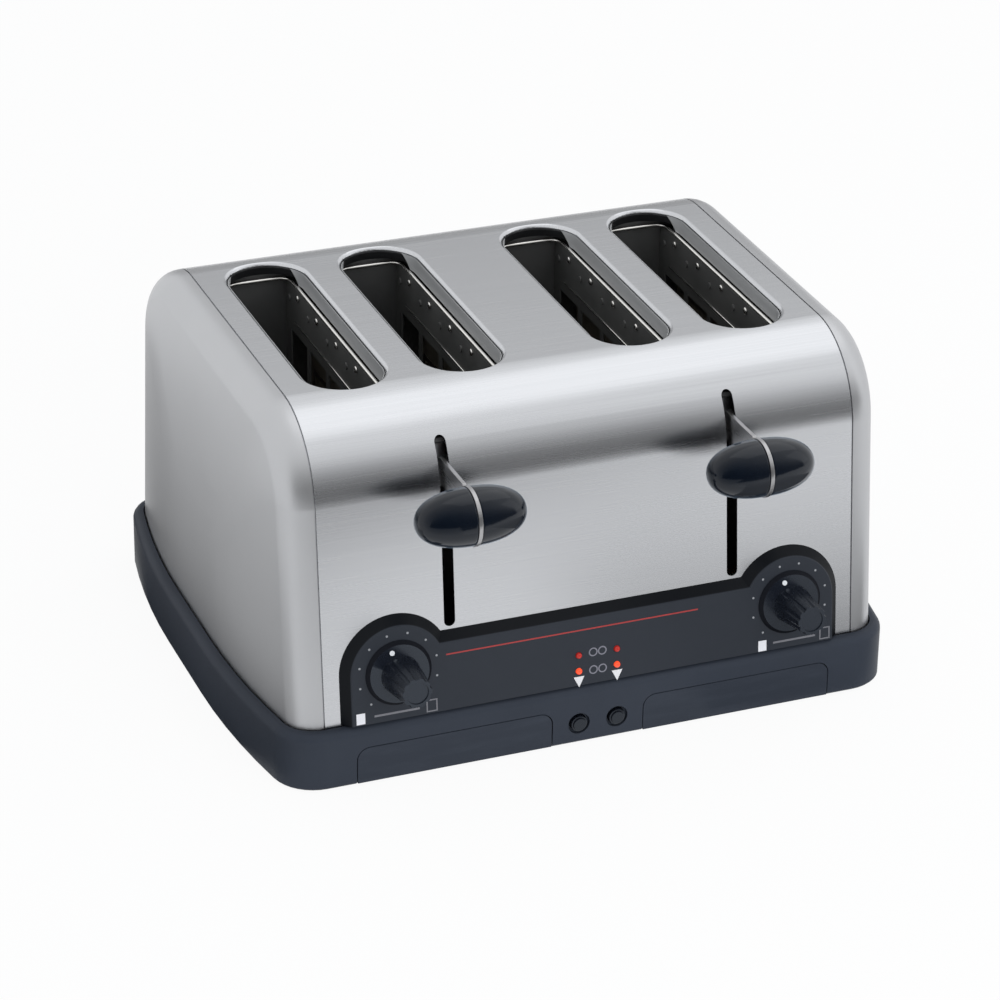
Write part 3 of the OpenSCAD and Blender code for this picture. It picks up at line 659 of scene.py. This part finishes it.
# Control panel
# A black moulding with a bevelled edge, arched round each dial, on the leaning front.
# Its face is painted charcoal and printed with a thin red stripe, scale dots, toast
# swatches, rings, and arrows under the lights.
front_lean = math.radians(5.71)
front_foot = Vector((0, -0.11095, 0.030))
paint_start = 0.0043
paint_fade = 0.0004
panel_finish, shade = finish("panel_charcoal")
spot = shade.place()
above = shade.axis(spot, "Z") - front_foot.z
behind = shade.axis(spot, "Y") - front_foot.y
proud = above * math.sin(front_lean) - behind * math.cos(front_lean)
painted = ((proud - paint_start) / paint_fade).ramp((0.0, 0), (1.0, 1))
grain = shade.noise(spot, scale=1200, detail=2.0)
cloud = shade.noise(spot, scale=22)
charcoal = shade.blend(cloud, (0.025, 0.029, 0.037), (0.030, 0.034, 0.043))
shade.close({
    "Base Color": shade.blend(painted, (0.002, 0.003, 0.005), charcoal),
    "Roughness": 0.36 + grain * 0.14,
    "Normal": shade.bump(grain, strength=0.07),
    "Specular IOR Level": 0.14,
})
dressed("control_panel", panel_finish, edge=0.0005, sharp=25)

# On the front face x runs across, z up the face, and -y straight out from it.
front_face = Matrix.Translation(front_foot) @ Matrix.Rotation(-front_lean, 4, "X")
stand_up = Matrix.Rotation(math.pi / 2, 4, "X")
print_height = 0.00514
ink_thickness = 0.00008
ink_dimming = 0.86
arrow_stretch = 1.15


def bar(shape, seat, width, height):
    bmesh.ops.create_grid(shape, x_segments=1, y_segments=1, size=0.5,
                          matrix=seat @ Matrix.Diagonal((width, height, 1, 1)))


def dot(shape, seat, radius):
    bmesh.ops.create_circle(shape, cap_ends=True, segments=20, radius=radius, matrix=seat)


def ring(shape, seat, radius, hole):
    made = bmesh.ops.create_circle(shape, cap_ends=False, segments=28, radius=radius, matrix=seat)["verts"]
    rim = [e for e in shape.edges if all(p in made for p in e.verts)]
    inside = points_of(bmesh.ops.extrude_edge_only(shape, edges=rim)["geom"])
    bmesh.ops.scale(shape, vec=(hole / radius,) * 3, space=seat.inverted(), verts=inside)


def arrow(shape, seat, radius):
    point_down = Matrix.Diagonal((1, arrow_stretch, 1, 1)) @ Matrix.Rotation(math.pi, 4, "Z")
    bmesh.ops.create_circle(shape, cap_ends=True, segments=3, radius=radius, matrix=seat @ point_down)


# A mark is its kind, its place across and up the face, and its sizes.
def printed(name, colour, marks, height=print_height, body="housing"):
    ink, shade = finish(name + "_ink")
    fleck = shade.noise(shade.place(), scale=2500, detail=2.0)
    dim = tuple(c * ink_dimming for c in colour)
    shade.close({
        "Base Color": shade.blend(fleck, dim, colour),
        "Roughness": 0.42 + fleck * 0.12,
    })
    shape = bmesh.new()
    for kind, x, z, *sizes in marks:
        seat = front_face @ Matrix.Translation((x, -height, z)) @ stand_up
        kind(shape, seat, *sizes)
    bmesh.ops.solidify(shape, geom=shape.faces[:], thickness=ink_thickness)
    bmesh.ops.recalc_face_normals(shape, faces=shape.faces)
    piece = set_out(name, shape, ink)
    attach(piece, body)


stripe_size = (0.126, 0.0007)
printed("panel_stripe", (0.36, 0.03, 0.03), [(bar, -0.012, 0.0286, *stripe_size)])

dials = {}
for joint in frame["joints"]:
    if joint["type"] == "hinge":
        dials[joint["child"]] = front_face.inverted() @ Vector(joint["pos_m"])
scale_radius = 0.0193
scale_dot = 0.00055
scale_turns = [math.radians(225 - 30 * i) for i in range(10)]
printed("scale_dots", (0.30, 0.31, 0.33), [
    (dot, axle.x + scale_radius * math.cos(turn), axle.z + scale_radius * math.sin(turn), scale_dot)
    for axle in dials.values() for turn in scale_turns])

swatch_size = (0.0042, 0.0054)
printed("pale_swatches", (0.80, 0.80, 0.84), [
    (bar, -0.1172, 0.0040, *swatch_size), (bar, 0.0844, 0.0036, *swatch_size)])

scale_line = (0.0220, 0.0010)
scale_line_z = 0.0042
square_z = 0.0045
square_upright = (0.0006, 0.0062)
square_upright_out = 0.0024
square_rail = (0.0041, 0.0006)
square_rail_out = 0.0028
swatch_lines = []
for line_x, square_x in ((-0.0996, -0.0826), (0.1010, 0.1170)):
    swatch_lines.append((bar, line_x, scale_line_z, *scale_line))
    for hand in (-1, 1):
        swatch_lines.append((bar, square_x + hand * square_upright_out, square_z, *square_upright))
        swatch_lines.append((bar, square_x, square_z + hand * square_rail_out, *square_rail))
printed("toast_swatches", (0.17, 0.17, 0.19), swatch_lines)

arrow_radius = 0.0031
printed("light_arrows", (0.78, 0.78, 0.80), [
    (arrow, x, 0.0034, arrow_radius) for x in (-0.0096, 0.0096)])

ring_size = (0.0022, 0.0016)
printed("light_icons", (0.20, 0.20, 0.24), [
    (ring, x, z, *ring_size) for z in (0.0165, 0.0075) for x in (-0.0023, 0.0023)])

# Indicator lights
# Four small rods of red plastic that reach from the control board through the panel,
# with their ends as lenses. The lower one of each column is lit, and the upper one,
# though not lit, has a faint painted glow.
lit_below = 0.042
lamp_finish, shade = finish("red_lens")
spot = shade.place()
depth = shade.noise(spot, scale=500, detail=2.0)
lit = shade.math("LESS_THAN", shade.axis(spot, "Z"), lit_below)
shade.close({
    "Base Color": shade.blend(depth, (0.30, 0.012, 0.008), (0.45, 0.02, 0.012)),
    "Roughness": 0.12 + depth * 0.1,
    # Painted glow: the unlit upper lenses also give off a faint red light.
    "Emission Color": shade.blend(lit, (0.12, 0.004, 0.003), (1.0, 0.10, 0.03)),
    "Emission Strength": 0.9,
})
dressed("indicator_lights", lamp_finish, edge=0)

# Dials
# Black moulded dials with a fluted, tapered grip, whose stems turn in the timer
# potentiometers. The skirt falls away from the grip as a shallow cone and has one
# white dot on it. Its rim is painted blacker and duller than the rest, as shade.
dial_finish, shade = finish("dial_gloss")
mark = shade.noise(shade.place(), scale=320, detail=4.0)
shade.close({
    "Base Color": shade.blend(mark, (0.006, 0.008, 0.013), (0.010, 0.012, 0.019)),
    "Roughness": 0.20 + mark * 0.12,
    "Specular IOR Level": 0.6,
    "Specular Tint": (0.78, 0.88, 1.0, 1),
})
deep_black = (0.003, 0.004, 0.007)
worn_black = (0.005, 0.006, 0.010)
# Painted shade: the skirt's rim gets this blacker, duller copy of the dial's finish.
rim_shade_finish, shade = finish("dial_rim_shade")
mark = shade.noise(shade.place(), scale=500)
shade.close({
    "Base Color": shade.blend(mark, deep_black, worn_black),
    "Roughness": 0.5 + mark * 0.15,
    "Specular IOR Level": 0.12,
})
skirt_seat = 0.0054
skirt_height = 0.003
skirt_inner = 0.0099
skirt_outer = 0.0140
skirt_fall = 0.0013
skirt_flat_from = 0.0096
skirt_flat_to = 0.0145
skirt_flat_within = 0.00003
skirt_rim = 0.0137
skirt_still_below = 0.0004
skirt_fall_over = 0.0022


def cone_skirt(piece, axle):
    seat = front_face @ Matrix.Translation((axle.x, -skirt_seat, axle.z))
    outward = seat.to_3x3() @ Vector((0, -1, 0))
    to_dial = seat.inverted()

    def reach(point):
        spot = to_dial @ point.co
        return math.hypot(spot.x, spot.z), -spot.y

    def on_flat(point):
        radius, height = reach(point)
        return abs(height - skirt_height) < skirt_flat_within and skirt_flat_from < radius < skirt_flat_to

    shape = bmesh.new()
    shape.from_mesh(piece.data)
    flat = [f for f in shape.faces if all(on_flat(p) for p in f.verts)]
    bmesh.ops.delete(shape, geom=flat, context="FACES_ONLY")
    open_edges = [e for e in shape.edges if e.is_boundary]
    smooth(bmesh.ops.bridge_loops(shape, edges=open_edges)["faces"])
    # The rim's faces take the painted shade finish.
    piece.data.materials.append(rim_shade_finish)
    for face in shape.faces:
        if min(reach(p)[0] for p in face.verts) > skirt_rim:
            face.material_index = 1
    bmesh.ops.recalc_face_normals(shape, faces=shape.faces)
    for point in shape.verts:
        radius, height = reach(point)
        if radius > skirt_inner and height > skirt_still_below:
            down_cone = min(1, (radius - skirt_inner) / (skirt_outer - skirt_inner))
            from_foot = min(1, (height - skirt_still_below) / skirt_fall_over)
            point.co -= outward * skirt_fall * down_cone * from_foot
    shape.to_mesh(piece.data)
    shape.free()


def slanted_dot(shape, seat, radius, turn, slope):
    dot(shape, seat @ Matrix.Rotation(slope, 4, (-math.sin(turn), math.cos(turn), 0)), radius)


pointer_turn = math.radians(108)
pointer_reach = 0.0118
pointer_radius = 0.0012
pointer_height = 0.0085 - skirt_fall * (pointer_reach - skirt_inner) / (skirt_outer - skirt_inner)
skirt_slope = math.atan2(skirt_fall, skirt_outer - skirt_inner)
for side in sides:
    dial = "dial_" + side
    axle = dials[dial]
    cone_skirt(dressed(dial, dial_finish, edge=0.0004, sharp=35), axle)
    pointer_x = axle.x + pointer_reach * math.cos(pointer_turn)
    pointer_z = axle.z + pointer_reach * math.sin(pointer_turn)
    printed("dial_mark_" + side, (0.75, 0.77, 0.80), [
        (slanted_dot, pointer_x, pointer_z, pointer_radius, pointer_turn, skirt_slope)],
        height=pointer_height, body=dial)

# Push buttons
# Two small black moulded buttons in countersunk holes in the base. A collar behind
# the wall keeps each one in, and it presses the switch behind it.
button_finish, shade = finish("button_black")
mark = shade.noise(shade.place(), scale=600)
shade.close({
    "Base Color": shade.blend(mark, deep_black, worn_black),
    "Roughness": 0.2 + mark * 0.15,
    "Specular Tint": (0.78, 0.88, 1.0, 1),
})
for side in sides:
    dressed("push_button_" + side, button_finish, edge=0.0004)
